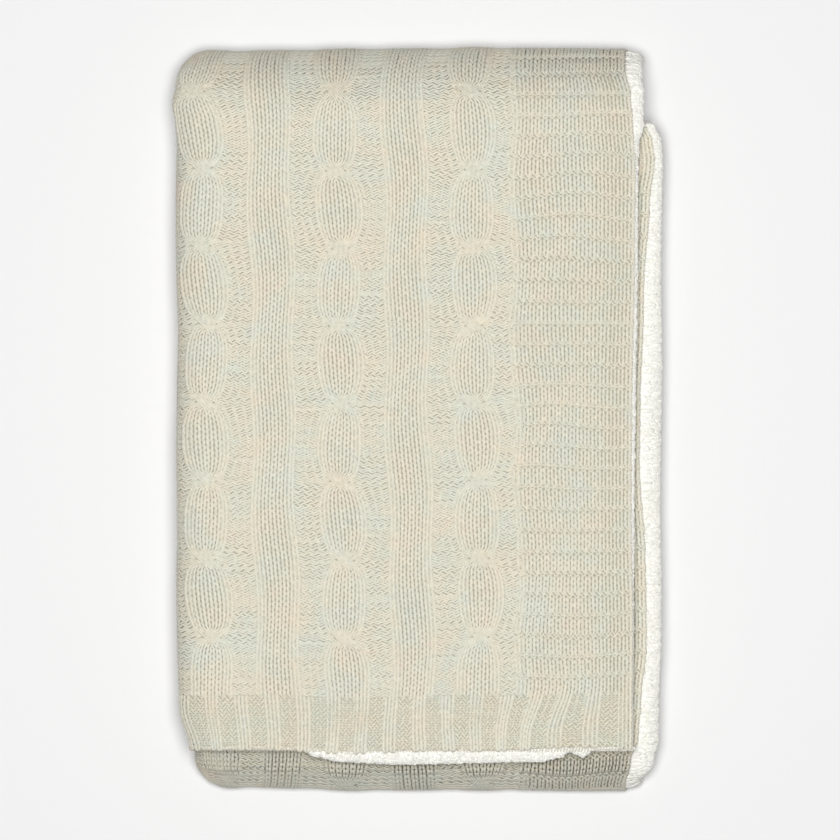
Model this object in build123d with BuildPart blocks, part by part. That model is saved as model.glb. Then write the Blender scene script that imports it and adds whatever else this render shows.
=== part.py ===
"""Folded throw blanket: a cable-knit face bonded round its edge to a fleece backing.

The blanket is folded in three across its width into a bundle of three plies, and the bundle
is folded in three along its length: base, lower flap, top flap. The knit is always outside.
Millimetres, +X right, +Y towards the back fold, +Z up, origin at the middle of the footprint.
"""
import os

from build123d import *

os.makedirs("parts", exist_ok=True)

# ---- driving dimensions ----
knit = 3.0  # thickness of the knitted face
fleece = 4.0  # thickness of the fleece backing
ply = knit + fleece
bundle = 3 * ply  # one folded strip is three plies thick
gap = 0.4  # air between two bundles lying on each other
pitch = bundle + gap
stack_height = 3 * bundle + 2 * gap

length = 640.0  # folded, back fold to front fold
width = 418.0  # folded, left side folds to the lower flap's fleece lip
fleece_lip = 15.0  # the backing stands out past the knit along the lower flap's selvage
top_fleece_lip = 9.0  # and along the top flap's
top_flap_shift = 11.0  # the top flap's selvage lies this far inside the lower flap's
back_y = length / 2
front_y = -length / 2
left_x = -width / 2  # outside of the left side folds
low_right_x = width / 2 - fleece_lip  # knit selvage of the lower flap and base
top_right_x = low_right_x - top_flap_shift  # knit selvage of the top flap
inner_selvage_gap = 3.0  # inner ply stops short of the left side fold
right_fold_inset = 7.0  # second ply's fold, back from the selvage above it

hem_band = 47.0  # ribbed band at each end of the knit
top_hem_y = -285.0  # end of the top flap
low_hem_y = 256.0  # end of the lower flap, inside the back fold
hem_lip = 12.0  # backing past the top flap's hem

seam_width = 5.0  # overlocked edge thread, seen as a narrow row along the edge
seam_depth = 1.2

back_centre_y = back_y - stack_height / 2  # axis of the back fold
back_centre_z = stack_height / 2
front_centre_y = front_y + (2 * bundle + gap) / 2  # axis of the front fold
front_centre_z = (2 * bundle + gap) / 2

left_radius = bundle / 2  # outside of the left side fold
right_radius = ply  # outside of the inner ply's side fold


def knit_outline(right_x):
    """Section of the knit through one bundle, seen from the front, its bottom at z 0.

    Top ply, round the left side fold, back along the bottom, round the right side fold,
    and in again as the middle ply.
    """
    left = left_x + left_radius
    right = right_x - right_fold_inset - right_radius
    inner = left + inner_selvage_gap
    with BuildLine() as line:
        Polyline((left, bundle), (right_x, bundle), (right_x, bundle - knit), (left, bundle - knit))
        ThreePointArc(
            (left, bundle - knit),
            (left - left_radius + knit, bundle / 2),
            (left, knit),
        )
        Line((left, knit), (right, knit))
        ThreePointArc(
            (right, knit),
            (right + right_radius - knit, right_radius),
            (right, 2 * right_radius - knit),
        )
        Polyline(
            (right, 2 * right_radius - knit),
            (inner, 2 * right_radius - knit),
            (inner, 2 * right_radius),
            (right, 2 * right_radius),
        )
        ThreePointArc(
            (right, 2 * right_radius),
            (right + right_radius, right_radius),
            (right, 0),
        )
        Line((right, 0), (left, 0))
        ThreePointArc((left, 0), (left - left_radius, bundle / 2), (left, bundle))
    return line


def lip_of(right_x):
    """How far the backing stands out past a selvage."""
    return top_fleece_lip if right_x == top_right_x else fleece_lip


def fleece_outline(right_x):
    """Section of the backing through one bundle: it lines the knit band on its inner side."""
    left = left_x + left_radius
    right = right_x - right_fold_inset - right_radius
    inner = left + inner_selvage_gap
    lip = right_x + lip_of(right_x)
    inner_radius = left_radius - ply
    with BuildLine() as line:
        Polyline(
            (left, bundle - knit),
            (lip, bundle - knit),
            (lip, bundle - ply),
            (left, bundle - ply),
        )
        ThreePointArc((left, bundle - ply), (left - inner_radius, bundle / 2), (left, ply))
        Polyline((left, ply), (inner, ply), (inner, 2 * ply - knit), (right, 2 * ply - knit))
        ThreePointArc(
            (right, 2 * ply - knit),
            (right + right_radius - knit, right_radius),
            (right, knit),
        )
        Line((right, knit), (left, knit))
        ThreePointArc(
            (left, knit),
            (left - left_radius + knit, bundle / 2),
            (left, bundle - knit),
        )
    return line


def section_plane(y, bottom_z, upside_down):
    """Plane across the blanket at y whose local Y is up, or down for the base's bundle."""
    if upside_down:
        return Plane(origin=(0, y, bottom_z + bundle), x_dir=(1, 0, 0), z_dir=(0, 1, 0))
    return Plane(origin=(0, y, bottom_z), x_dir=(1, 0, 0), z_dir=(0, -1, 0))


def panel(outline, right_x, from_y, to_y, bottom_z, upside_down):
    """Straight stretch of one cloth through a bundle, from the higher y to the lower."""
    start = from_y if not upside_down else to_y
    with BuildPart() as part:
        with BuildSketch(section_plane(start, bottom_z, upside_down)):
            make_face(outline(right_x).edges())
        extrude(amount=abs(from_y - to_y))
    return part


def fold(outline, right_x, centre_y, centre_z, bottom_z, turn):
    """The same cloth turned half round an axis along X, from a flap down to the base."""
    with BuildPart() as part:
        with BuildSketch(section_plane(centre_y, bottom_z, False)):
            make_face(outline(right_x).edges())
        revolve(axis=Axis((0, centre_y, centre_z), (turn, 0, 0)), revolution_arc=180)
    return part


def save(part, name):
    """Label a finished piece and write it under its own name."""
    part.part.label = name
    export_step(part.part, f"parts/{name}.step")


base_z = 0.0
low_z = pitch
top_z = 2 * pitch
lip_end = hem_lip / 2  # the lower flap's backing shows less past its hem

# ---- fleece backing, one stretch for each fold of the blanket ----
backing_runs = {
    "base_backing": (low_right_x, back_centre_y, front_centre_y, base_z, True),
    "lower_flap_backing": (low_right_x, low_hem_y + lip_end, front_centre_y, low_z, False),
    "top_flap_backing": (top_right_x, back_centre_y, top_hem_y - hem_lip, top_z, False),
}
for name, (right_x, from_y, to_y, bottom_z, upside_down) in backing_runs.items():
    save(panel(fleece_outline, right_x, from_y, to_y, bottom_z, upside_down), name)

# ---- knitted face: cable-knit stretches and the ribbed band that ends each flap ----
knit_runs = {
    "base_knit": (low_right_x, back_centre_y, front_centre_y, base_z, True),
    "lower_flap_knit": (low_right_x, low_hem_y - hem_band, front_centre_y, low_z, False),
    "lower_flap_rib_hem": (low_right_x, low_hem_y, low_hem_y - hem_band, low_z, False),
    "top_flap_knit": (top_right_x, back_centre_y, top_hem_y + hem_band, top_z, False),
    "top_flap_rib_hem": (top_right_x, top_hem_y + hem_band, top_hem_y, top_z, False),
}
for name, (right_x, from_y, to_y, bottom_z, upside_down) in knit_runs.items():
    save(panel(knit_outline, right_x, from_y, to_y, bottom_z, upside_down), name)

# ---- the two folds, each cloth its own half ring ----
fold_runs = {
    "front_fold": (low_right_x, front_centre_y, front_centre_z, low_z, 1),
    "back_fold": (top_right_x, back_centre_y, back_centre_z, top_z, -1),
}
for name, (right_x, centre_y, centre_z, bottom_z, turn) in fold_runs.items():
    save(fold(knit_outline, right_x, centre_y, centre_z, bottom_z, turn), f"{name}_knit")
    save(fold(fleece_outline, right_x, centre_y, centre_z, bottom_z, turn), f"{name}_backing")


def seam(along_x, along_y, size_x, size_y, low, high):
    """Edge thread: a flat strip lying along the edge, on the backing's lip."""
    with BuildPart() as part:
        with BuildSketch(Plane.XY.offset(low)):
            with Locations((along_x, along_y)):
                Rectangle(size_x, size_y)
        extrude(amount=high - low)
    return part


# ---- overlocked edge thread, outside the knit's cut edge and on the backing's lip ----
seam_base_low = knit - seam_depth
seam_runs = {
    "base_seam_thread": (low_right_x, back_centre_y, front_centre_y, seam_base_low),
    "lower_flap_seam_thread": (low_right_x, low_hem_y, front_centre_y, low_z + bundle - knit),
    "top_flap_seam_thread": (top_right_x, back_centre_y, top_hem_y, top_z + bundle - knit),
}
for name, (right_x, from_y, to_y, low) in seam_runs.items():
    middle_y = (from_y + to_y) / 2
    strip = seam(right_x + seam_width / 2, middle_y, seam_width, from_y - to_y, low, low + seam_depth)
    save(strip, name)

# The top flap's hem has its own row of edge thread, lying on the backing past the ribs.
hem_left_x = left_x + left_radius
hem_middle_x = (hem_left_x + top_right_x) / 2
hem_low = top_z + bundle - knit
hem_row = seam(
    hem_middle_x,
    top_hem_y - seam_width / 2,
    top_right_x - hem_left_x,
    seam_width,
    hem_low,
    hem_low + seam_depth,
)
save(hem_row, "top_flap_hem_thread")

low_hem_row = seam(
    (hem_left_x + low_right_x) / 2,
    low_hem_y + seam_width / 2,
    low_right_x - hem_left_x,
    seam_width,
    low_z + bundle - knit,
    low_z + bundle - knit + seam_depth,
)
save(low_hem_row, "lower_flap_hem_thread")
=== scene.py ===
"""Folded throw blanket in Blender: knitted face, fleece backing and edge thread.

The cloth is worked out flat and then folded. A point of the cloth has three coordinates, in
millimetres: a is the distance across from the outer selvage, b the distance along from the top
flap's hem, and n the height above the knit's face. place() turns them into the folded blanket.
"""
import math

import bpy
import numpy as np
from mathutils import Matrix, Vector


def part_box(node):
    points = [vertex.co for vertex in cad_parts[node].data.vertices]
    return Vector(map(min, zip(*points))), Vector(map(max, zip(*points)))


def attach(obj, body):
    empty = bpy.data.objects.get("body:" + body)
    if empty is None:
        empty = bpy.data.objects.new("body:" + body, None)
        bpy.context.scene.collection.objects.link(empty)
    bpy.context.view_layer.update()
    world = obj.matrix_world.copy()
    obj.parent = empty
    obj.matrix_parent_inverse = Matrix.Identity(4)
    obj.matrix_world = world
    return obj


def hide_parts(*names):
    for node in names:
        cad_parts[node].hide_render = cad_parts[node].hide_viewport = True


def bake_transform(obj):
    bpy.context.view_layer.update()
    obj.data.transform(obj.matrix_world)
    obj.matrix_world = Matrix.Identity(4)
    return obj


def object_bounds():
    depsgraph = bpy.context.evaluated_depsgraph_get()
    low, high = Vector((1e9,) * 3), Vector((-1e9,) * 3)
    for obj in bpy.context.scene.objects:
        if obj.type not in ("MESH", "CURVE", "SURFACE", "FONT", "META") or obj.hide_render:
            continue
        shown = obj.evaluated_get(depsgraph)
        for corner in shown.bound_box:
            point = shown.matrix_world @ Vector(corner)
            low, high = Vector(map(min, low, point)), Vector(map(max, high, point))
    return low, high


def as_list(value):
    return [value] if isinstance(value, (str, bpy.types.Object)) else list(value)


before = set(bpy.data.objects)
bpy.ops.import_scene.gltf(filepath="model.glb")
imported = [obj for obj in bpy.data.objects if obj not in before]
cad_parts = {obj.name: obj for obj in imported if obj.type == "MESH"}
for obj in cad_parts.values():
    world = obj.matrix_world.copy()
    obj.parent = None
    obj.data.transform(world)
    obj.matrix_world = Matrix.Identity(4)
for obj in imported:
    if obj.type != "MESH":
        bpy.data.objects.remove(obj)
cad_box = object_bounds()

MM = 0.001
TOP_BODY = "top_flap"
STACK_BODY = "stack"

# ---------------------------------------------------------------- camera
VIEW_WIDTH = 0.7232      # metres of floor across the picture
CAMERA_HEIGHT = 7.0
SENSOR = 36.0


def add_camera():
    """Straight down over the middle of the blanket, with a long lens."""
    top = cad_box[1][2]
    camera = bpy.data.cameras.new("camera")
    camera.sensor_width = SENSOR
    camera.lens = SENSOR * (CAMERA_HEIGHT - top) / VIEW_WIDTH
    camera.clip_end = 100
    eye = bpy.data.objects.new("camera", camera)
    eye.location = (0, 0, CAMERA_HEIGHT)
    bpy.context.collection.objects.link(eye)
    bpy.context.scene.camera = eye


add_camera()


# ---------------------------------------------------------------- the folds, from the frame
def node_box(node):
    """Lowest and highest corner of a CAD node, in millimetres."""
    low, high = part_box(node)
    return np.array(low) / MM, np.array(high) / MM


top_low, top_high = node_box("top_flap_knit")
low_low, low_high = node_box("lower_flap_knit")
hem_low, hem_high = node_box("top_flap_rib_hem")
back_low, back_high = node_box("back_fold_knit")
front_low, front_high = node_box("front_fold_knit")

BUNDLE = top_high[2] - top_low[2]          # three plies
TOP_Z, LOW_Z = top_low[2], low_low[2]      # undersides of the two flaps
TOP_RIGHT, LOW_RIGHT = top_high[0], low_high[0]
TOP_HEM_Y = hem_low[1]
LOW_HEM_Y = node_box("lower_flap_rib_hem")[1][1]
HEM = hem_high[1] - hem_low[1]             # depth of the ribbed band

BACK_Y, BACK_Z = back_low[1], (back_low[2] + back_high[2]) / 2
BACK_R = (back_high[2] - back_low[2]) / 2
FRONT_Y, FRONT_Z = front_high[1], (front_low[2] + front_high[2]) / 2
FRONT_R = (front_high[2] - front_low[2]) / 2

LEFT_R = BUNDLE / 2                        # side fold that wraps the whole bundle
LEFT_C = top_low[0] + LEFT_R
RIGHT_R = BUNDLE / 3                       # side fold of the two inner plies
RIGHT_INSET = 2 * RIGHT_R                  # its axis, in from the selvage above it

# Distances along the cloth, from the top flap's hem to the lower flap's.
B_BACK = BACK_Y - TOP_HEM_Y
B_BASE = B_BACK + math.pi * BACK_R
B_FRONT = B_BASE + BACK_Y - FRONT_Y
B_LOW = B_FRONT + math.pi * FRONT_R
B_END = B_LOW + LOW_HEM_Y - FRONT_Y


def smooth(t):
    """0 below 0, 1 above 1, and an even rise between."""
    t = np.clip(t, 0, 1)
    return t * t * (3 - 2 * t)


def rise(value, start, reach):
    """0 up to start, and 1 from start + reach on."""
    return smooth((value - start) / reach)


def fall(value, end, reach):
    """1 up to end - reach, and 0 from end on."""
    return smooth((end - value) / reach)


def hump(t, reach):
    """1 at 0, falling off both ways."""
    return np.exp(-((t / reach) ** 2))


def right_of(b):
    """x of the selvage: the top flap's lies further in than the lower flap's."""
    return TOP_RIGHT + (LOW_RIGHT - TOP_RIGHT) * rise(b, B_BACK, B_BASE - B_BACK)


def left_fold_from(b):
    """Distance across the cloth at which the left side fold starts."""
    return right_of(b) - LEFT_C


def under_from(b):
    return left_fold_from(b) + math.pi * LEFT_R


def right_fold_from(b):
    return under_from(b) + left_fold_from(b) - RIGHT_INSET


def inner_from(b):
    return right_fold_from(b) + math.pi * RIGHT_R


def across(a, b, n):
    """x, and height in the bundle, of a point of the cloth."""
    right = right_of(b)
    left_turn = (a - left_fold_from(b)) / LEFT_R
    right_turn = (a - right_fold_from(b)) / RIGHT_R
    right_c = right - RIGHT_INSET
    where = [
        a < left_fold_from(b),
        a < under_from(b),
        a < right_fold_from(b),
        a < inner_from(b),
    ]
    x = np.select(where, [
        right - a,
        LEFT_C - (LEFT_R + n) * np.sin(left_turn),
        LEFT_C + a - under_from(b),
        right_c + (RIGHT_R + n) * np.sin(right_turn),
    ], right_c - (a - inner_from(b)))
    h = np.select(where, [
        BUNDLE + n,
        LEFT_R + (LEFT_R + n) * np.cos(left_turn),
        -n,
        RIGHT_R - (RIGHT_R + n) * np.cos(right_turn),
    ], 2 * RIGHT_R + n)
    return x, h


def along(b, h):
    """y and z of height h in the bundle, at distance b along the cloth."""
    back_turn = (b - B_BACK) / BACK_R
    front_turn = (b - B_FRONT) / FRONT_R
    back_r = h + BACK_R - BUNDLE
    front_r = h + FRONT_R - BUNDLE
    where = [b < B_BACK, b < B_BASE, b < B_FRONT, b < B_LOW]
    y = np.select(where, [
        TOP_HEM_Y + b,
        BACK_Y + back_r * np.sin(back_turn),
        BACK_Y - (b - B_BASE),
        FRONT_Y - front_r * np.sin(front_turn),
    ], FRONT_Y + b - B_LOW)
    z = np.select(where, [
        TOP_Z + h,
        BACK_Z + back_r * np.cos(back_turn),
        BUNDLE - h,
        FRONT_Z - front_r * np.cos(front_turn),
    ], LOW_Z + h)
    return y, z


def soft_line(at, points):
    """A value that passes smoothly through a few (distance, value) points."""
    stops, values = np.array(points, float).T
    k = np.clip(np.searchsorted(stops, at) - 1, 0, len(stops) - 2)
    t = smooth((at - stops[k]) / (stops[k + 1] - stops[k]))
    return values[k] + (values[k + 1] - values[k]) * t


CORNERS = [
    # x, y, reach in x, reach in y, push in x, push in y: rounds a corner of the outline
    (-209.0, 320.0, 26.0, 24.0, 5.0, -4.0),
    (-209.0, -320.0, 34.0, 26.0, 8.0, 4.0),
]
LEFT_EDGE = [
    # y, how far the left side folds stand out there
    (-330, -3), (-275, -3), (-240, -1), (-120, 1), (0, 0), (120, 0), (198, 1), (241, 1),
    (258, 2), (273, 4.5), (288, 1), (304, -1), (340, -1),
]
CREASES = [
    # x, y, half length, half width, depth: dents in the top near the back fold
    (143.0, 312.0, 26.0, 2.4, 2.0),
    (150.0, 302.5, 20.0, 2.0, 1.4),
]


LEFT_WAVE, RIGHT_WAVE = 0.8, 0.6           # unevenness of the long edges
STACK_CORNER_IN, TOP_CORNER_IN = 12.0, 7.0  # left front corners, in from the left edge
BACK_WAVE, BACK_BOW = 1.2, 1.0             # unevenness of the back fold, and its bow
FRONT_SLANT, FRONT_WAVE = 2.2, 0.6         # the front fold runs out of square, and waves
LUMP = 0.8                                 # height of the slow lumps
TOP_FLAP_LEVEL = 0.7                       # about where the top flap starts, as a share of the height
BACK_SINK, LEFT_SINK, FRONT_SINK = 8.0, 4.0, 33.0


def settle(x, y, z):
    """Slow bends of the whole folded blanket: soft corners, uneven edges and a lumpy top.

    level is 0 on the floor and 1 on the top.
    """
    level = np.clip(z / (3 * BUNDLE), 0, 1)
    for corner_x, corner_y, reach_x, reach_y, push_x, push_y in CORNERS:
        weight = smooth(1 - np.abs(x - corner_x) / reach_x)
        weight = weight * smooth(1 - np.abs(y - corner_y) / reach_y)
        x = x + push_x * weight
        y = y + push_y * weight
    to_left = rise(-x, 120, 90)
    x = x - to_left * (soft_line(y, LEFT_EDGE) + LEFT_WAVE * np.sin(y / 27 + 3 * level))
    # The stack's left corner lies further in than the top flap's.
    in_stack, in_top = fall(level, 0.72, 0.1), rise(level, 0.62, 0.1)
    x = x + STACK_CORNER_IN * to_left * rise(-y, 235, 45) * in_stack
    x = x + TOP_CORNER_IN * rise(-x, 170, 30) * rise(-y, 250, 35) * in_top
    to_right = rise(x, 150, 60)
    x = x + to_right * RIGHT_WAVE * np.sin(y / 31 + 0.4)
    to_back = rise(y, 270, 60)
    y = y + to_back * (BACK_WAVE * np.sin(x / 95 + 0.4) - BACK_BOW * (x / 200) ** 2)
    to_front = rise(-y, 270, 50)
    y = y + to_front * (FRONT_SLANT * fall(x, 40, 220) + FRONT_WAVE * np.sin(x / 33))
    lumps = (
        np.sin(x / 47 + 0.6) * np.sin(y / 58 + 1.7)
        + 0.7 * np.sin(x / 83 - y / 51 + 2.2)
        + 0.4 * np.sin(x / 21 + y / 29)
    )
    z = z + LUMP * level * lumps
    # The layers sink towards the back and the left, and those under the top flap at the front.
    z = z - BACK_SINK * level * rise(y, 250, 76) ** 1.5
    z = z - LEFT_SINK * level * rise(-x, 165, 46) ** 1.5
    z = z - FRONT_SINK * level * rise(-y, 276, 62) * fall(level, TOP_FLAP_LEVEL, 0.04)
    for crease_x, crease_y, reach_x, reach_y, depth in CREASES:
        dent = hump((x - crease_x) / reach_x, 1) * hump((y - crease_y) / reach_y, 1)
        z = z - depth * dent * rise(level, TOP_FLAP_LEVEL, 0.2)
    return x, y, z


# How far the knit's selvage is drawn in, along the cloth: the cut edge isn't quite straight.
SELVAGE_IN = [
    (-40, 1), (20, 0), (90, 0), (170, 1), (300, 1), (430, -2), (510, -2), (B_BACK - 40, 0),
    (B_BACK - 5, 2), (B_BACK + 14, 7), (B_BACK + 45, 10), (B_BACK + 70, 9), (B_BASE, 7),
    (B_BASE + 60, 6), (B_BASE + 120, 0), (B_FRONT - 60, 0), (B_FRONT + 20, 14),
    (B_LOW - 21, 17), (B_LOW + 6, 12), (B_LOW + 23, 5.5), (B_LOW + 58, 3), (B_LOW + 101, -1),
    (B_LOW + 187, 0), (B_LOW + 264, 4.5), (B_LOW + 316, 4.5), (B_LOW + 402, 1),
    (B_LOW + 488, -4), (B_LOW + 523, -8), (B_LOW + 540, -6), (B_END, 0), (B_END + 40, 0),
]
SELVAGE_REACH = 90.0     # how far in from the selvage the cloth follows it
LOWEST = -0.4            # stitches under the blanket are pressed flat on the floor


def place(a, b, n):
    """The folded position, in metres, of points of the cloth."""
    a = a + soft_line(b, SELVAGE_IN) * smooth(1 - a / SELVAGE_REACH)
    x, h = across(a, b, n)
    y, z = along(b, h)
    x, y, z = settle(x, y, z)
    return np.stack([x, y, np.maximum(z, LOWEST)], -1) * MM


# ---------------------------------------------------------------- mesh helpers
TINY = 1e-6              # keeps a flat range from being divided by


def add_mesh(name, points, faces, cloth_uv, material):
    """A smooth-shaded object from points in metres and a list of (k, m) face arrays.

    cloth_uv is each point's place in the flat cloth, in millimetres.
    """
    mesh = bpy.data.meshes.new(name)
    mesh.vertices.add(len(points))
    mesh.vertices.foreach_set("co", points.astype(np.float32).ravel())
    loop_points = np.concatenate([f.ravel() for f in faces])
    sizes = np.concatenate([np.full(len(f), f.shape[1]) for f in faces])
    starts = np.concatenate([[0], np.cumsum(sizes)[:-1]])
    mesh.loops.add(len(loop_points))
    mesh.loops.foreach_set("vertex_index", loop_points.astype(np.int32))
    mesh.polygons.add(len(sizes))
    mesh.polygons.foreach_set("loop_start", starts.astype(np.int32))
    mesh.update(calc_edges=True)
    mesh.shade_smooth()
    low, high = cloth_uv.min(0), cloth_uv.max(0)
    for layer_name, values in (
        ("cloth", cloth_uv * MM),
        ("OFBake", (cloth_uv - low) / np.maximum(high - low, TINY)),
    ):
        layer = mesh.uv_layers.new(name=layer_name)
        layer.data.foreach_set("uv", values[loop_points].astype(np.float32).ravel())
    mesh.materials.append(material)
    mesh.validate()
    piece = bpy.data.objects.new(name, mesh)
    bpy.context.collection.objects.link(piece)
    return piece


def tubes(paths, wide, thick, sides):
    """Closed tubes in cloth space.

    paths is (tube, ring, 3), wide and thick the half sizes of each ring, in the cloth and out of
    it. Returns the points and the faces.
    """
    count, rings, _ = paths.shape
    run = np.gradient(paths, axis=1)
    run /= np.linalg.norm(run, axis=2, keepdims=True) + 1e-9
    side = np.cross(run, np.array([0.0, 0.0, 1.0]))
    side /= np.linalg.norm(side, axis=2, keepdims=True) + 1e-9
    up = np.cross(side, run)
    turn = np.arange(sides) * 2 * math.pi / sides + math.pi / sides
    wide = np.broadcast_to(wide, (count, rings))[..., None, None]
    thick = np.broadcast_to(thick, (count, rings))[..., None, None]
    points = (
        paths[:, :, None, :]
        + side[:, :, None, :] * wide * np.cos(turn)[:, None]
        + up[:, :, None, :] * thick * np.sin(turn)[:, None]
    )
    first = (np.arange(count) * rings * sides)[:, None, None]
    ring = (np.arange(rings - 1) * sides)[None, :, None]
    corner = np.arange(sides)
    after = (corner + 1) % sides
    quads = np.stack([
        first + ring + corner,
        first + ring + after,
        first + ring + sides + after,
        first + ring + sides + corner,
    ], -1).reshape(-1, 4)
    first = first[:, :, 0]
    starts = first + corner[::-1]
    ends = first + (rings - 1) * sides + corner
    return points.reshape(-1, 3), [quads, np.concatenate([starts, ends])]


def join(parts):
    """One set of points and faces from several."""
    points, by_size, base = [], {}, 0
    for part_points, part_faces in parts:
        points.append(part_points)
        for faces in part_faces:
            by_size.setdefault(faces.shape[1], []).append(faces + base)
        base += len(part_points)
    return np.concatenate(points), [np.concatenate(f) for f in by_size.values()]


# Painted shade: the yarn's colour is darkened over the folds, where shade falls.
# How much darker the yarn is over the front fold, and the other folds' share of that.
# It is set to match the darker folds of the photograph, and stays the same in any light.
FOLD_PAINTED_SHADE = 0.26
BACK_SHADE_SHARE, SIDE_SHADE_SHARE = 0.85, 0.5


def add_fold_painted_shade(piece, a, b):
    """Point attribute of painted shade that multiplies the yarn's colour: below 1 where it turns over
    a fold.
    """
    left = left_fold_from(b)
    front = fall(b, B_LOW + 24, 18) * rise(b, B_FRONT - 10, 20)
    back = rise(b, B_BACK - 28, 62) * fall(b, B_BASE + 10, 20)
    side = rise(a, left - 16, 28) * fall(a, left + math.pi * LEFT_R + 10, 20)
    back, side = BACK_SHADE_SHARE * back, SIDE_SHADE_SHARE * side
    painted_shade = 1 - FOLD_PAINTED_SHADE * np.maximum(front, np.maximum(back, side))
    layer = piece.data.attributes.new("fold_painted_shade", "FLOAT", "POINT")
    layer.data.foreach_set("value", painted_shade.astype(np.float32))


def cloth_piece(name, parts, material):
    """An object from parts built in cloth space, folded into place."""
    points, faces = join(parts)
    piece = add_mesh(name, place(*points.T), faces, points[:, :2], material)
    # Painted shade of the folds, on every piece but the pile.
    if material is not pile:
        add_fold_painted_shade(piece, points[:, 0], points[:, 1])
    return piece


# ---------------------------------------------------------------- materials
def srgb(red, green, blue):
    """Linear colour from 0-255 display values."""
    linear = [
        c / 255 / 12.92 if c < 10 else ((c / 255 + 0.055) / 1.055) ** 2.4
        for c in (red, green, blue)
    ]
    return (*linear, 1.0)


MIX_A, MIX_B, MIX_RESULT = 6, 7, 2         # the colour sockets of a Mix node
FIBRE = 0.0009                             # metres between the bumps of single fibres
FIBRE_DEPTH = 0.0004


def node(tree, kind, **values):
    made = tree.nodes.new(kind)
    for key, value in values.items():
        setattr(made, key, value)
    return made


def noise(tree, vector, size, detail):
    """Noise with features of about one size, in metres."""
    made = node(tree, "ShaderNodeTexNoise")
    made.inputs["Scale"].default_value = 1 / size
    made.inputs["Detail"].default_value = detail
    tree.links.new(vector, made.inputs["Vector"])
    return made


def multiplied(tree, colour, factor):
    """A colour socket times the value of another socket."""
    mix = node(tree, "ShaderNodeMix", data_type="RGBA", blend_type="MULTIPLY")
    mix.inputs["Factor"].default_value = 1.0
    tree.links.new(colour, mix.inputs[MIX_A])
    tree.links.new(factor, mix.inputs[MIX_B])
    return mix.outputs[MIX_RESULT]


def cloth_material(name, colours, blotch, fine, roughness, sheen, bump, with_painted_shade=True):
    """Matt fibre: colours is a list of (position, colour) along slow blotches.

    blotch and fine are the sizes of the slow and the quick change of colour, in metres.
    """
    mat = bpy.data.materials.new(name)
    mat.use_nodes = True
    tree = mat.node_tree
    link = tree.links.new
    shader = tree.nodes["Principled BSDF"]
    uv = node(tree, "ShaderNodeUVMap", uv_map="cloth")
    slow = noise(tree, uv.outputs[0], blotch, 3.0)
    slow.inputs["Roughness"].default_value = 0.6
    ramp = node(tree, "ShaderNodeValToRGB")
    while len(ramp.color_ramp.elements) < len(colours):
        ramp.color_ramp.elements.new(0.5)
    for element, (position, colour) in zip(ramp.color_ramp.elements, colours):
        element.position = position
        element.color = colour
    link(slow.outputs["Fac"], ramp.inputs[0])
    quick = noise(tree, uv.outputs[0], fine, 2.0)
    shade = node(tree, "ShaderNodeMapRange")
    shade.inputs["From Min"].default_value = 0.3
    shade.inputs["From Max"].default_value = 0.7
    shade.inputs["To Min"].default_value = 0.93
    shade.inputs["To Max"].default_value = 1.05
    link(quick.outputs["Fac"], shade.inputs["Value"])
    colour = multiplied(tree, ramp.outputs[0], shade.outputs[0])
    # Painted shade: the colour is multiplied by the folds' painted shade attribute.
    if with_painted_shade:
        fold_painted_shade = node(tree, "ShaderNodeAttribute", attribute_name="fold_painted_shade")
        colour = multiplied(tree, colour, fold_painted_shade.outputs["Fac"])
    link(colour, shader.inputs["Base Color"])
    shader.inputs["Roughness"].default_value = roughness
    shader.inputs["Sheen Weight"].default_value = sheen
    shader.inputs["Sheen Roughness"].default_value = 0.5
    shader.inputs["Specular IOR Level"].default_value = 0.15
    place_at = node(tree, "ShaderNodeTexCoord")
    fibre = noise(tree, place_at.outputs["Object"], FIBRE, 2.0)
    bumps = node(tree, "ShaderNodeBump")
    bumps.inputs["Strength"].default_value = bump
    bumps.inputs["Distance"].default_value = FIBRE_DEPTH
    link(fibre.outputs["Fac"], bumps.inputs["Height"])
    link(bumps.outputs[0], shader.inputs["Normal"])
    return mat


yarn = cloth_material(
    "knit_yarn",
    [
        (0.34, srgb(231, 232, 218)),
        (0.46, srgb(234, 231, 215)),
        (0.56, srgb(236, 231, 213)),
        (0.66, srgb(239, 230, 211)),
    ],
    blotch=0.035, fine=0.004, roughness=0.95, sheen=0.15, bump=0.5,
)
# The knit's back loops under the stitches: their colour is painted darker, as the shade that falls in
# the holes between stitches.
loops = cloth_material(
    "knit_back_loops_painted_shade",
    [(0.35, srgb(194, 190, 170)), (0.65, srgb(202, 196, 177))],
    blotch=0.02, fine=0.003, roughness=1.0, sheen=0.0, bump=0.3,
)
pile = cloth_material(
    "fleece_pile",
    [(0.35, srgb(250, 249, 241)), (0.65, srgb(253, 252, 246))],
    blotch=0.02, fine=0.003, roughness=1.0, sheen=0.2, bump=0.25, with_painted_shade=False,
)
thread = cloth_material(
    "edge_thread",
    [(0.35, srgb(226, 219, 204)), (0.65, srgb(233, 226, 212))],
    blotch=0.02, fine=0.002, roughness=0.8, sheen=0.1, bump=0.3,
)

# ---------------------------------------------------------------- the knitting pattern
WALE = 6.45              # one stitch across
BORDER = 16              # stitches in the banded border
MARGIN = 2               # plain purl stitches between it and the first cable
CABLE, PURL, STRIP = 6, 3, 6
REPEAT = CABLE + PURL + STRIP + PURL
HALF_CABLE = CABLE // 2
STRIP_AT = HALF_CABLE + PURL + STRIP // 2  # middle of a strip, from the middle of a cable
HEM_ROWS = 11
ROWS = round((B_END - 2 * HEM) / 4.48)     # rows between the hems, each about 4.48 mm
COURSE = (B_END - 2 * HEM) / ROWS
HEM_COURSE = HEM / HEM_ROWS
CROSS_FIRST = 98.0       # first cable crossing, from the hem
CROSS_EVERY = 15 * COURSE
BAND_ROWS = 4            # the border: three knit rows, then a purl ridge

RIB = 2                  # stitches in a rib of the hem, and between two ribs

rng = np.random.default_rng(11)


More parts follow.
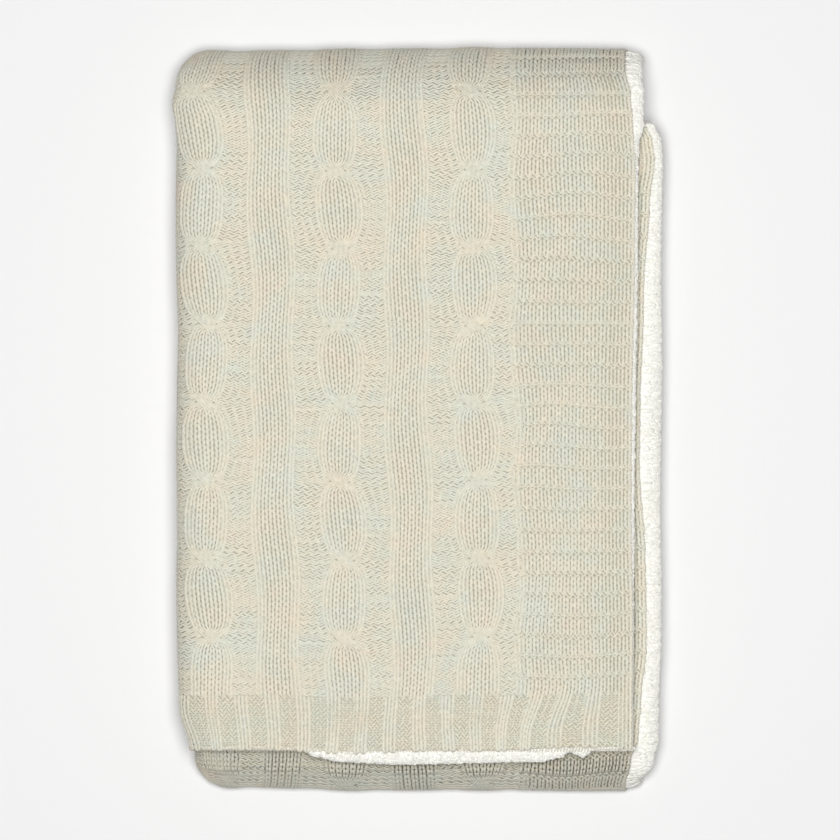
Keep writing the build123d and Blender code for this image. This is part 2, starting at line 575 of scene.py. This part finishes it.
def row_at(j):
    """b of the middle of row j, counted from the top flap's hem."""
    j = np.asarray(j, float)
    low = (j + 0.5) * HEM_COURSE
    middle = HEM + (j - HEM_ROWS + 0.5) * COURSE
    high = B_END - HEM + (j - HEM_ROWS - ROWS + 0.5) * HEM_COURSE
    return np.where(j < HEM_ROWS, low, np.where(j < HEM_ROWS + ROWS, middle, high))


def rows_between(b_from, b_to):
    j = np.arange(2 * HEM_ROWS + ROWS)
    b = row_at(j)
    return j[(b >= b_from) & (b < b_to)]


def is_hem(j):
    return (j < HEM_ROWS) | (j >= HEM_ROWS + ROWS)


def crossing(b):
    """Distance from the nearest cable crossing, as a share of the way to the next one."""
    phase = (b - CROSS_FIRST) / CROSS_EVERY
    return phase - np.round(phase)


def from_cable(a):
    """Signed distance across from the middle of the nearest cable, in stitches."""
    middle = BORDER + MARGIN + HALF_CABLE
    u = a / WALE - middle
    nearest = np.maximum(np.round(u / REPEAT), 0)
    return u - nearest * REPEAT


UNDER_SINK, FLOOR_SINK, COVERED_SINK = 0.9, 1.7, 0.35


def sunk(a, b):
    """How far the face is pressed flat where it lies on the floor or against another layer."""
    left = left_fold_from(b)
    under = rise(a, left + 12, 14) * fall(a, inner_from(b) - 10, 14)
    on_floor = fall(a, left + 8, 12) * rise(b, B_BASE - 12, 12) * fall(b, B_FRONT + 12, 12)
    covered = rise(a, 30, 20) * fall(a, left, 10) * rise(b, B_LOW + 20, 20)
    return UNDER_SINK * under + FLOOR_SINK * on_floor + COVERED_SINK * covered


PINCH, SPREAD = 0.31, 0.05   # a cable is narrower at a crossing and wider between two
ROW_PULL = 0.06          # how far a crossing draws the rows beside it together
LEAN = 10.0              # the columns run this much out of true from the hem to the back fold
CORNER_PUSH = 14.0       # and are pushed sideways near the right end of the top flap's hem


def draw_in(a, b):
    """The pull of each cable crossing on the stitches round it, and the lean of the columns."""
    hem = rise(b, HEM, 30) * fall(b, B_END - HEM, 30)
    u = from_cable(a)
    p = crossing(b)
    pinch = hem * (PINCH * hump(p, 0.20) - SPREAD * (1 - hump(p, 0.3)))
    beside = np.abs(u) > HALF_CABLE
    reach = np.clip(np.abs(u), 0, HALF_CABLE) * np.clip(2 - np.abs(u) / HALF_CABLE, 0, 1) ** beside
    new_a = a - np.sign(u) * reach * pinch * WALE
    edge = hump(np.abs(u) - HALF_CABLE, 2.2)
    new_b = b - hem * ROW_PULL * p * CROSS_EVERY * hump(p, 0.16) * edge
    lean = LEAN * (np.clip(b / B_BACK, 0, 1) - 0.55) * rise(a, 0, 130)
    # The columns sway and the rows wave by a few millimetres.
    sway = 1.0 * np.sin(b / 53 + a / 90) + 1.7 * np.sin(b / 21.3 + a / 31 + 0.7)
    new_a = new_a + lean + sway * rise(a, 20, 80)
    wave = 1.6 * np.sin(b / 37 + 1.3) * hump((a - 62) / 45, 1)
    new_b = new_b + 1.1 * np.sin(a / 61 + 0.8) + 0.8 * np.sin(a / 23 + b / 90) + wave
    in_border = fall(a, BORDER * WALE + 15, 30)
    new_b = new_b + in_border * 1.6 * np.sin(a / 17 + b / 41) * np.sin(b / 67 + 0.5)
    at_joint = np.minimum(np.abs(b - B_BACK), np.abs(b - B_BASE))
    new_b = b + (new_b - b) * rise(at_joint, 0, 14)
    corner = fall(b, HEM + 12, HEM) * rise(a, 0, 80) * fall(a, 190, 130)
    new_a = new_a + CORNER_PUSH * corner
    return new_a, new_b


STRIP_RISE = 0.35        # millimetres; a cable's middle rises 1
PURL_DROP = 0.2
FLAT_RISE = 0.1          # the border, and half way up the ribs
RIB_RISE = 0.5


def relief(a, b):
    """How far the knit's face stands up, before single stitches: cables round, purl sunk."""
    u = np.abs(from_cable(a))
    pod = np.clip(1 - (u / 3.7) ** 2, 0, 1)
    strip = STRIP_RISE * smooth(1.6 - np.abs(u - STRIP_AT) / 2.6)
    body = np.where(a < BORDER * WALE, FLAT_RISE, np.maximum(pod, strip) - PURL_DROP)
    in_hem = np.maximum(fall(b, HEM, 6), rise(b, B_END - HEM, 6))
    ribs = FLAT_RISE + RIB_RISE * np.cos(math.pi / RIB * (a / WALE - 1))
    return body + (ribs - body) * in_hem - sunk(a, b)


# One leg of a knit stitch, from its foot to its head: place across in stitches from the column's
# middle, distance along in rows, height out of the face and half sizes in millimetres.
FINE_LEG = np.array([
    (0.06, -0.66, -0.70, 0.80, 0.6),
    (0.20, -0.26, 0.15, 1.35, 0.85),
    (0.29, 0.12, 0.45, 1.52, 0.9),
    (0.28, 0.46, 0.25, 1.60, 0.85),
    (0.19, 0.78, -0.70, 0.80, 0.6),
]).T
PLAIN_LEG = np.array([
    (0.06, -0.66, -0.70, 0.9, 0.6),
    (0.25, -0.08, 0.35, 1.50, 0.9),
    (0.28, 0.42, 0.28, 1.60, 0.9),
    (0.19, 0.78, -0.70, 0.9, 0.6),
]).T


HOLE_COLUMN = 15.0       # distance from the selvage where the stitches are pulled open
HOLE_THIN, CROSSING_THIN = 0.22, 0.42      # how much thinner the yarn is there, and at a crossing
CABLE_THICK = 0.05       # and how much thicker in a cable
UNEVEN_YARN = 0.10       # standard deviation of a stitch's place, in millimetres


def knit_legs(a, b, course, fine, path=None):
    """Two slanting legs for each knit stitch at (a, b).

    path(at) gives how far a column has moved across, and out, at distances along the cloth.
    """
    across_by, along_by, out_by, wide, thick = FINE_LEG if fine else PLAIN_LEG
    jitter = rng.normal(0, UNEVEN_YARN, (len(a), 2))
    parts = []
    for side in (-1, 1):
        at = b[:, None] + along_by * course[:, None]
        shift, out = (0.0, 0.0) if path is None else path(at)
        pa = a[:, None] + side * across_by * WALE + shift + jitter[:, :1]
        new_a, new_b = draw_in(pa, at + jitter[:, 1:])
        pn = out_by + out + relief(pa, at)
        in_cable = np.abs(from_cable(pa)) < 3.3
        squeeze = hump(crossing(at), 0.17) * in_cable
        scale = 1 + rng.normal(0, 0.05, (len(a), 1)) - HOLE_THIN * hump(a[:, None] - HOLE_COLUMN, 10)
        scale = scale * (1 - CROSSING_THIN * squeeze) * (1 + CABLE_THICK * in_cable)
        paths = np.stack([new_a, new_b, pn], -1)
        parts.append(tubes(paths, wide * scale, thick * scale, 6 if fine else 4))
    return parts


PURL_TUCK = 7.5          # purl rows run on this far under the raised stitches beside them


def purl_rows(a_from, a_to, b, course, fine, depth=-0.2, wave=0.21, yarn_width=1.0):
    """Purl stitches: each row is a wavy strand, with the next row's feet between."""
    steps = 6 if fine else 4
    a_from, a_to = a_from - PURL_TUCK, a_to + PURL_TUCK
    count = max(int(round((a_to - a_from) / WALE * steps)), steps) + 1
    a = np.linspace(a_from, a_to, count)
    turn = 2 * math.pi * a / WALE
    ends = rise(a, a_from, PURL_TUCK) * fall(a, a_to, PURL_TUCK)
    parts = []
    # Each strand's place in the row, height and half width: the upper loops, then the feet.
    for forward, height, half_wide in ((0.0, 0.30, 1.22), (0.5, -0.20, 1.05)):
        pb = b[:, None] + course[:, None] * (forward + wave * np.cos(turn + forward))
        pb = pb + rng.normal(0, UNEVEN_YARN, (len(b), 1))
        pa = np.broadcast_to(a, pb.shape) + rng.normal(0, 0.25, (len(b), 1))
        pn = depth + height + 0.12 * np.cos(2 * turn) + relief(pa, pb) - 1.3 * (1 - ends)
        new_a, new_b = draw_in(np.maximum(pa, 0.3), pb)
        paths = np.stack([new_a, new_b, pn], -1)
        parts.append(tubes(paths, half_wide * yarn_width, 0.8, 5 if fine else 4))
    return parts


def cable_path(columns, b):
    """path() for the stitches of a cable: at a crossing three columns pass over three."""
    over = ((columns - BORDER - MARGIN) % REPEAT < HALF_CABLE)[:, None]
    nearest = CROSS_FIRST + np.round((b - CROSS_FIRST) / CROSS_EVERY)[:, None] * CROSS_EVERY

    def path(at):
        p = (at - nearest) / CROSS_EVERY
        done = smooth(p / 0.30 + 0.5)
        sideways = np.where(over, 1.0, -1.0) * HALF_CABLE * WALE * done
        out = np.where(over, 0.7, -0.6) * hump(p, 0.12)
        return sideways, out

    return path


def stitches(columns, rows, kind, fine):
    """Knit stitches of one kind at every pair of column and row."""
    columns, rows = [g.ravel() for g in np.meshgrid(columns, rows, indexing="ij")]
    b = row_at(rows)
    course = np.where(is_hem(rows), HEM_COURSE, COURSE)
    path = cable_path(columns, b) if kind == "cable" else None
    return knit_legs((columns + 0.5) * WALE, b, course, fine, path)


def kind_of(i):
    """What the pattern does in column i, counted from the selvage."""
    if i < BORDER:
        return "border"
    k = (i - BORDER - MARGIN) % REPEAT if i >= BORDER + MARGIN else REPEAT - 1
    if k < CABLE:
        return "cable"
    return "strip" if CABLE + PURL <= k < CABLE + PURL + STRIP else "purl"


def runs_of(kind, i_from, i_to):
    """Runs of neighbouring columns of one kind."""
    runs = []
    for i in range(i_from, i_to):
        if kind_of(i) != kind:
            continue
        if runs and runs[-1][-1] == i - 1:
            runs[-1].append(i)
        else:
            runs.append([i])
    return runs


def knitting(i_from, i_to, b_from, b_to, fine=True):
    """All stitches between two columns and two distances, as {what they are: parts}."""
    made = {}
    rows = rows_between(b_from, b_to)
    body, hem = rows[~is_hem(rows)], rows[is_hem(rows)]
    if len(body):
        b, course = row_at(body), np.full(len(body), COURSE)
        for kind in ("cable", "strip"):
            for number, run in enumerate(runs_of(kind, i_from, i_to), 1):
                made[f"{kind}_{number}"] = stitches(run, body, kind, fine)
        for number, run in enumerate(runs_of("purl", i_from, i_to), 1):
            made[f"purl_{number}"] = purl_rows(
                run[0] * WALE, (run[-1] + 1) * WALE, b, course, fine)
        for run in runs_of("border", i_from, i_to):
            ridge = (body - HEM_ROWS) % BAND_ROWS == BAND_ROWS - 1
            made["border"] = stitches(run, body[~ridge], "border", fine)
            made["border_ridges"] = purl_rows(
                run[0] * WALE, (run[-1] + 1) * WALE, b[ridge], course[ridge], fine,
                wave=0.32, yarn_width=0.80)
    if len(hem):
        ribs = [i for i in range(i_from, i_to) if i % (2 * RIB) < RIB]
        parts = stitches(ribs, hem, "rib", fine)
        hem_b, hem_course = row_at(hem), np.full(len(hem), HEM_COURSE)
        for i in range(i_from, i_to):
            if i % (2 * RIB) == RIB and i + RIB <= i_to:
                parts += purl_rows(
                    i * WALE, (i + RIB) * WALE, hem_b, hem_course, fine,
                    depth=-0.5, wave=0.34, yarn_width=0.64)
        made["hem_ribs"] = parts
    return made


# ---------------------------------------------------------------- ground sheets
INNER_GAP = 3.0          # the inner ply stops this far short of the left side fold
SHEET_ACROSS = 1180.0    # about the cloth's width, for the number of columns in a sheet
CLOSE_STEP, WIDE_STEP = 3.0, 4.0           # between points: the top flap's ground, other sheets


def cloth_end(b):
    """Distance across to the inner ply's selvage, just short of the left side fold."""
    return inner_from(b) + left_fold_from(b) - RIGHT_INSET - INNER_GAP


def sheet_grid(name, a_from, b_from, b_to, n, step, material):
    """One open sheet of cloth at height n, across to the inner ply's selvage."""
    b = np.linspace(b_from, b_to, max(int((b_to - b_from) / step), 4) + 1)
    share = np.linspace(0, 1, max(int(SHEET_ACROSS / step), 8) + 1)
    a = a_from + (cloth_end(b) - a_from)[:, None] * share[None, :]
    bb = np.broadcast_to(b[:, None], a.shape)
    if material is loops:
        height = n + relief(a, bb)
        new_a, new_b = draw_in(a, bb)
        new_a = np.where(share[None, :] < 1, new_a, a)
        points = np.stack([np.maximum(new_a, a_from), np.clip(new_b, 0, B_END), height], -1)
    else:
        height = n + 0.3 * (np.sin(a / 2.3) * np.sin(bb / 2.9) + np.sin(a / 4.1 + bb / 3.3))
        points = np.stack([a, bb, height], -1)
    flat = np.stack([a, bb], -1).reshape(-1, 2)
    rows, columns = a.shape
    first = (np.arange(rows - 1)[:, None] * columns + np.arange(columns - 1)).ravel()
    quads = np.stack([first, first + 1, first + columns + 1, first + columns], -1)
    sheet = add_mesh(name, place(*points.reshape(-1, 3).T), [quads], flat, material)
    # The ground sheet gets the folds' painted shade too.
    if material is loops:
        add_fold_painted_shade(sheet, *flat.T)
    return sheet


FOLD_STRIPS = 8          # pieces of each cloth round the back fold


def fold_strip_ends(k):
    span = (B_BASE - B_BACK) / FOLD_STRIPS
    return B_BACK + k * span, B_BACK + (k + 1) * span


def turn_with_fold(piece, k):
    """Strip k of the back fold keeps the place it was built in: its transform is baked into its
    points.
    """
    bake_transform(piece)


def finish_piece(piece, body, strip=None):
    if strip is None:
        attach(piece, body)
    else:
        turn_with_fold(piece, strip)
    return piece


GROUND_N, LINING_N = -1.7, -5.0            # heights of the two sheets, from the knit's face
MOST_FACES = 180_000     # triangles in one piece


def add_knit(name, groups, body, strip=None):
    """Objects from groups of stitches, each object small enough to handle."""
    made, parts, faces = [], [], 0

    def close():
        nonlocal parts, faces
        if parts:
            whole = f"{name}_{len(made) + 1}" if made or faces >= MOST_FACES else name
            piece = cloth_piece(whole, parts, yarn)
            made.append(finish_piece(piece, body, strip))
        parts, faces = [], 0

    for part in groups:
        size = sum(len(f) * (f.shape[1] - 2) for f in part[1])
        if faces + size > MOST_FACES:
            close()
        parts.append(part)
        faces += size
    close()
    return made


def all_parts(made):
    return [part for group in made.values() for part in group]


def split_rows(i_from, i_to, b_from, b_to, count, **how):
    """Parts of a wide area, made in bands along the cloth."""
    edges = np.linspace(b_from, b_to, count + 1)
    return [
        part
        for low, high in zip(edges[:-1], edges[1:])
        for part in all_parts(knitting(i_from, i_to, low, high, **how))
    ]


def column_near(a):
    return int(round(float(a) / WALE))


on_top, on_stack, on_fold = [], [], [[] for _ in range(FOLD_STRIPS)]

# Where the columns of the face and left side fold end, and those of the right side fold, for
# each flap.
top_columns = column_near(under_from(0)) + 1
stack_columns = column_near(under_from(B_END)) + 1
top_right_fold = (column_near(right_fold_from(0)) - 3, column_near(inner_from(0)) + 2)
stack_right_fold = (column_near(right_fold_from(B_END)) - 3, column_near(inner_from(B_END)) + 2)
stack_left_fold = column_near(left_fold_from(B_END)) - 1
SEEN_STRIP = 6           # columns of the lower flap that show beside the top flap
BACK_END = 45.0          # the base's upper side has stitches this far from the back fold

for name, parts in knitting(0, top_columns, 0, B_BACK).items():
    on_top += add_knit(f"top_flap_{name}", parts, TOP_BODY)
on_top += add_knit(
    "top_flap_side_fold", all_parts(knitting(*top_right_fold, 0, B_BACK, fine=False)), TOP_BODY)
on_top += add_knit(
    "top_flap_underside",
    split_rows(top_columns, top_right_fold[0], 0, B_BACK, 6, fine=False), TOP_BODY)

for k in range(FOLD_STRIPS):
    b_from, b_to = fold_strip_ends(k)
    parts = all_parts(knitting(0, stack_columns, b_from, b_to))
    parts += all_parts(knitting(*stack_right_fold, b_from, b_to))
    parts += all_parts(knitting(
        stack_columns, stack_right_fold[0], b_from, b_to, fine=False))
    on_fold[k] += add_knit(f"back_fold_stitches_{k + 1}", parts, None, strip=k)

on_stack += add_knit(
    "lower_flap_strip", all_parts(knitting(0, SEEN_STRIP, B_LOW, B_END)), STACK_BODY)
on_stack += add_knit(
    "lower_flap_face",
    split_rows(SEEN_STRIP, stack_left_fold, B_LOW, B_END, 8, fine=False), STACK_BODY)
on_stack += add_knit(
    "stack_left_fold",
    all_parts(knitting(stack_left_fold, stack_columns, B_BASE, B_FRONT, fine=False))
    + all_parts(knitting(stack_left_fold, stack_columns, B_LOW, B_END, fine=False)), STACK_BODY)
on_stack += add_knit(
    "stack_side_fold",
    split_rows(*stack_right_fold, B_BASE, B_END, 4, fine=False), STACK_BODY)
on_stack += add_knit(
    "front_fold", all_parts(knitting(0, stack_columns, B_FRONT, B_LOW)), STACK_BODY)
on_stack += add_knit(
    "base_selvage", all_parts(knitting(0, 2, B_BASE, B_FRONT)), STACK_BODY)
on_stack += add_knit(
    "base_back_end",
    all_parts(knitting(
        stack_columns, stack_right_fold[0], B_BASE, B_BASE + BACK_END, fine=False)),
    STACK_BODY)

# ---------------------------------------------------------------- fleece along the edges
LIP = [
    # how far the fleece stands out past the knit's selvage, along the cloth
    (-40, -2), (60, -2), (110, 0), (200, 2), (300, 2.5), (420, 2), (B_BACK - 65, 1.5),
    (B_BACK - 52, 3), (B_BACK - 34, 9), (B_BACK, 11), (B_BACK + 14, 14), (B_BACK + 45, 15),
    (B_BACK + 75, 8), (B_BASE, 3), (B_BASE + 50, 3), (B_BASE + 90, 13), (B_FRONT - 20, 13),
    (B_FRONT + 20, 12), (B_LOW - 21, 12), (B_LOW - 10, 18), (B_LOW + 6, 20),
    (B_LOW + 23, 17), (B_LOW + 58, 15), (B_LOW + 101, 12), (B_LOW + 187, 13),
    (B_LOW + 264, 18), (B_LOW + 316, 18), (B_LOW + 402, 15), (B_LOW + 488, 10),
    (B_LOW + 523, 6), (B_LOW + 540, 7), (B_END, 7), (B_END + 40, 7),
]
TUCK = 6.0               # how far the edge roll reaches in under the knit
ROLL_HALF = 2.7          # half the thickness of the fleece, with its pile
ROLL_SIDES = 16
ROLL_STEP = 1.3          # distance between its rings
ROLL_DROOP = 0.010       # the fleece hangs down by this times the square of its overhang
LOCKS_EVERY = 1.3        # square millimetres of pile for each lock
COVERED_LOCKS = 3.0      # and where other layers hide the pile from above


def uneven(s, turn, seed):
    """Lumps of pile on a roll, in millimetres."""
    r = np.random.default_rng(seed)
    total = np.zeros(np.broadcast(s, turn).shape)
    for size, height in ((9.0, 0.20), (5.0, 0.12), (3.2, 0.08), (2.3, 0.06)):
        for _ in range(3):
            along_it = 2 * math.pi / (size * r.uniform(0.8, 1.25))
            round_it = r.integers(1, 5)
            total = total + height * np.sin(
                s * along_it + turn * round_it * r.choice((-1, 1)) + r.uniform(0, 6.3))
    return total


def roll_point(path, reach, s, turn, extra):
    """Point of an edge roll: s along it, turn round it, extra out of its surface."""
    tuck = TUCK * rise(reach(s), -4, 8)
    half = np.maximum((reach(s) + tuck) / 2, 0.8)
    middle = reach(s) - half
    outward = middle + (half + extra) * np.cos(turn)
    droop = ROLL_DROOP * np.maximum(outward, 0) ** 2
    height = LINING_N + (ROLL_HALF + extra) * np.sin(turn) - droop
    return path(s, outward, height)


def edge_roll(path, reach, s_from, s_to, seed, locks_every):
    """A soft roll of pile along an edge, and the locks that stand out of it."""
    r = np.random.default_rng(seed)
    s = np.linspace(s_from, s_to, max(int((s_to - s_from) / ROLL_STEP), 3) + 1)
    turn = np.arange(ROLL_SIDES) * 2 * math.pi / ROLL_SIDES
    ss, tt = np.meshgrid(s, turn, indexing="ij")
    ends = np.minimum(np.minimum(ss - s_from, s_to - ss), 2.0) / 2.0
    points = roll_point(path, reach, ss, tt, uneven(ss, tt, seed) - 1.2 * (1 - ends))
    rings = len(s)
    first = (np.arange(rings - 1) * ROLL_SIDES)[:, None]
    corner = np.arange(ROLL_SIDES)
    after = (corner + 1) % ROLL_SIDES
    quads = np.stack([
        first + corner, first + ROLL_SIDES + corner, first + ROLL_SIDES + after, first + after,
    ], -1).reshape(-1, 4)
    caps = np.stack([corner, (rings - 1) * ROLL_SIDES + corner[::-1]])
    parts = [(points.reshape(-1, 3), [quads, caps])]

    width = float(np.mean(reach(s))) + TUCK
    count = int((s_to - s_from) * (width + 2 * ROLL_HALF) / locks_every)
    ls = r.uniform(s_from + 0.5, s_to - 0.5, count)
    lt = r.uniform(-0.62 * math.pi, 0.62 * math.pi, count) * r.uniform(0.5, 1.0, count)
    length = r.uniform(0.3, 1.0, count)
    drift_s = r.normal(0, 1.3, count)
    drift_t = r.normal(0, 0.4, count)
    up_the_lock = np.array([-0.25, 0.35, 0.75, 1.0])
    paths = np.stack([
        roll_point(path, reach,
                   ls + drift_s * t ** 2, lt + drift_t * max(t, 0) ** 2,
                   uneven(ls, lt, seed) + length * t)
        for t in up_the_lock
    ], 1)
    thickness = np.array([1.2, 1.15, 0.85, 0.25])
    parts.append(tubes(paths, thickness, thickness, 4))
    return parts


def selvage_path(s, outward, height):
    """Along the outer selvage: outward is away from the cloth."""
    return np.stack(np.broadcast_arrays(-outward, s, height), -1)


def selvage_reach(s):
    return soft_line(s, LIP)


def add_roll(name, parts, body, strip=None):
    piece = cloth_piece(name, parts, pile)
    return finish_piece(piece, body, strip)


def add_rolls(name, edge, s_from, s_to, body, seed, pieces=2, strip=None, locks_every=LOCKS_EVERY):
    """The pile of one edge, in a few pieces end to end. edge is its path and its reach."""
    ends = np.linspace(s_from, s_to, pieces + 1)
    made = []
    for k, (low, high) in enumerate(zip(ends[:-1], ends[1:])):
        parts = edge_roll(*edge, low, high, seed + k, locks_every)
        whole = f"{name}_{k + 1}" if pieces > 1 else name
        made.append(add_roll(whole, parts, body, strip))
    return made


SELVAGE = (selvage_path, selvage_reach)
on_top += add_rolls("top_flap_selvage_pile", SELVAGE, 2, B_BACK, TOP_BODY, 100)
on_stack += add_rolls(
    "base_selvage_pile", SELVAGE, B_BASE, B_FRONT, STACK_BODY, 120, locks_every=COVERED_LOCKS)
on_stack += add_rolls("lower_flap_selvage_pile", SELVAGE, B_FRONT, B_END, STACK_BODY, 140)
for k in range(FOLD_STRIPS):
    on_fold[k] += add_rolls(
        f"back_fold_pile_{k + 1}", SELVAGE, *fold_strip_ends(k), None, 160 + k, pieces=1, strip=k)


def top_hem_path(s, outward, height):
    """Along the top flap's hem, where b is 0."""
    return np.stack(np.broadcast_arrays(s, -outward, height), -1)


def low_hem_path(s, outward, height):
    """Along the lower flap's hem."""
    return np.stack(np.broadcast_arrays(s, B_END + outward, height), -1)


def top_hem_reach(s):
    """The top flap's fleece shows most along the middle of its hem, and little at the corners."""
    return soft_line(s, [
        (-20, -2), (34, -2), (38, 2), (43, 5), (48, 2), (53, 0), (63, 5), (80, 9), (200, 11),
        (252, 9), (272, 5), (285, -1), (320, -2), (1300, -2),
    ])


def low_hem_reach(s):
    """The lower flap's fleece barely shows past its hem, which the back fold turns over."""
    return 0.5 + 0.5 * np.sin(s / 40)


PAST_SELVAGE = -3.0      # a hem's pile starts this far out past the knit's selvage
on_top += add_rolls(
    "top_flap_hem_pile", (top_hem_path, top_hem_reach), PAST_SELVAGE, cloth_end(0), TOP_BODY, 200)
on_stack += add_rolls(
    "lower_flap_hem_pile", (low_hem_path, low_hem_reach), PAST_SELVAGE, cloth_end(B_END),
    STACK_BODY, 220, locks_every=COVERED_LOCKS)


# ---------------------------------------------------------------- edge thread
THREAD_R = 0.38          # half the thread's thickness
THREAD_EVERY = 2.6       # stitch of the sewing machine


def overlock(path, s_from, s_to):
    """Thread wrapped over the knit's cut edge: a slanting bar for each stitch of the machine."""
    s = np.arange(s_from + 1, s_to - 1, THREAD_EVERY)[:, None]
    outward = np.array([-4.6, -3.6, -0.6, 0.6, 0.4])
    height = np.array([-0.5, 0.75, 0.70, -0.9, -2.4])
    slant = np.array([0.0, 0.1, 0.9, 1.3, 1.3])
    paths = path(s + slant, outward, height)
    return [tubes(paths, THREAD_R, THREAD_R, 5)]


def add_thread(name, parts, body, strip=None):
    return finish_piece(cloth_piece(name, parts, thread), body, strip)


top_side_thread = add_thread(
    "top_flap_edge_thread", overlock(selvage_path, 0, B_BACK), TOP_BODY)
top_hem_thread = add_thread(
    "top_flap_hem_stitching", overlock(top_hem_path, 0, float(cloth_end(0))), TOP_BODY)
low_side_thread = add_thread(
    "lower_flap_edge_thread", overlock(selvage_path, B_FRONT, B_END), STACK_BODY)
base_thread = add_thread(
    "base_edge_thread", overlock(selvage_path, B_BASE, B_FRONT), STACK_BODY)
low_hem_thread = add_thread(
    "lower_flap_hem_stitching", overlock(low_hem_path, 0, float(cloth_end(B_END))), STACK_BODY)
for k in range(FOLD_STRIPS):
    on_fold[k].append(add_thread(
        f"back_fold_thread_{k + 1}", overlock(selvage_path, *fold_strip_ends(k)), None, strip=k))
on_top += [top_side_thread, top_hem_thread]
on_stack += [low_side_thread, base_thread, low_hem_thread]

# ---------------------------------------------------------------- the two cloths
# The knit's ground sheet carries the back loops' painted shade.
KNIT_CLOTH = (GROUND_N, 0, loops, "knit")  # height, start across, material and slot
FLEECE_CLOTH = (LINING_N, -1, pile, "fleece")


def add_sheet(name, cloth, b_from, b_to, body, on_it, strip=None):
    """One stretch of a cloth, as a sheet between b_from and b_to; on_it, what lies on it, is not
    used.
    """
    n, a_from, material, slot = cloth
    step = CLOSE_STEP if body == TOP_BODY and material is loops else WIDE_STEP
    sheet = sheet_grid(name, a_from, b_from, b_to, n, step, material)
    finish_piece(sheet, body, strip)
    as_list(on_it)
    return sheet


top_ground = add_sheet("top_flap_knit_ground", KNIT_CLOTH, 0, B_BACK, TOP_BODY, on_top)
stack_ground = add_sheet("stack_knit_ground", KNIT_CLOTH, B_BASE, B_END, STACK_BODY, on_stack)
top_lining = add_sheet("top_flap_fleece", FLEECE_CLOTH, 0, B_BACK, TOP_BODY, [])
stack_lining = add_sheet("stack_fleece", FLEECE_CLOTH, B_BASE, B_END, STACK_BODY, [])
fold_grounds, fold_linings = [], []
for k in range(FOLD_STRIPS):
    ends = fold_strip_ends(k)
    fold_grounds.append(add_sheet(
        f"back_fold_knit_ground_{k + 1}", KNIT_CLOTH, *ends, None, on_fold[k], k))
    fold_linings.append(add_sheet(
        f"back_fold_fleece_{k + 1}", FLEECE_CLOTH, *ends, None, [], k))

# ---------------------------------------------------------------- light and floor
FLOOR_SIZE = 12.0
FLOOR_Z = -0.0005        # just under the lowest stitches
FLOOR_GREY = 245


def add_stage():
    bpy.ops.mesh.primitive_plane_add(size=FLOOR_SIZE, location=(0, 0, FLOOR_Z))
    floor = bpy.context.object
    floor.name = "floor"
    mat = bpy.data.materials.new("floor")
    mat.use_nodes = True
    shader = mat.node_tree.nodes["Principled BSDF"]
    shader.inputs["Base Color"].default_value = srgb(FLOOR_GREY, FLOOR_GREY, FLOOR_GREY)
    shader.inputs["Roughness"].default_value = 0.9
    floor.data.materials.append(mat)


def add_light(name, location, size, power):
    """A round lamp overhead, tilted by the angle it stands off the middle."""
    lamp = bpy.data.lights.new(name, "AREA")
    lamp.shape = "DISK"
    lamp.size = size
    lamp.energy = power
    light = bpy.data.objects.new(name, lamp)
    light.location = location
    x, y, z = location
    light.rotation_euler = (math.atan2(y, z), math.atan2(x, z), 0)
    bpy.context.collection.objects.link(light)


def add_world(strength):
    """Even white light from all round."""
    world = bpy.data.worlds.new("studio")
    world.use_nodes = True
    background = world.node_tree.nodes["Background"]
    background.inputs["Color"].default_value = (1.0, 1.0, 1.0, 1.0)
    background.inputs["Strength"].default_value = strength
    bpy.context.scene.world = world


add_stage()
add_light("key", (-0.05, 0.05, 4.0), size=1.8, power=146)
add_world(0.12)
bpy.context.scene.view_settings.view_transform = "Standard"

# ---------------------------------------------------------------- what stands for what
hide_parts("top_flap_knit", "top_flap_rib_hem")
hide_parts("base_knit", "front_fold_knit", "lower_flap_knit", "lower_flap_rib_hem")
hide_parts("top_flap_backing")
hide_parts("base_backing", "front_fold_backing", "lower_flap_backing")
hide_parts("back_fold_knit")
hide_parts("back_fold_backing")
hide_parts("top_flap_seam_thread")
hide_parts("top_flap_hem_thread")
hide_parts("lower_flap_seam_thread")
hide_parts("lower_flap_hem_thread")
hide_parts("base_seam_thread")
